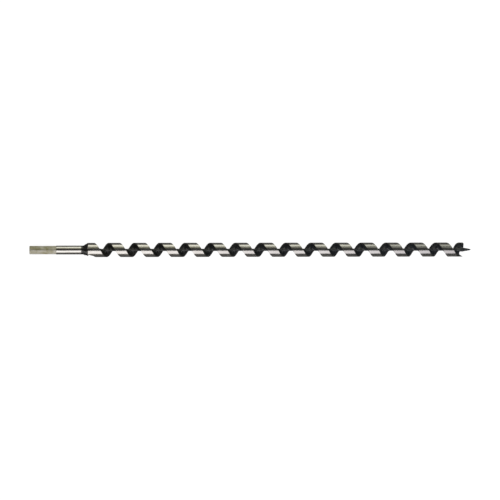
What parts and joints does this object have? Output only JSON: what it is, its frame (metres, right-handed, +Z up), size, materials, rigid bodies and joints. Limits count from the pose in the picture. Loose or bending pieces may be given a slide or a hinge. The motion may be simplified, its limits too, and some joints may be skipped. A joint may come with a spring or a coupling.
{
  "type": "auger drill bit",
  "caption": "Long single-flute wood auger bit with a hexagonal shank, ground lands, a cutting lip, a scoring spur and a lead screw.",
  "frame": {"origin": "on the surface the bit rests on, under the middle of its length and under its axis", "axes": "+X along the bit from the hexagonal shank towards the lead screw, +Z up; two flats of the hexagon face +Y and -Y"},
  "size_m": [0.59, 0.019, 0.019],
  "materials": {
    "tool_steel": "ground bright on the lands and round shank, satin on the hexagon, black oxide in the flute, collar and head"
  },
  "bodies": {
    "root": {"auger_bit": "tool_steel"}
  },
  "joints": []
}
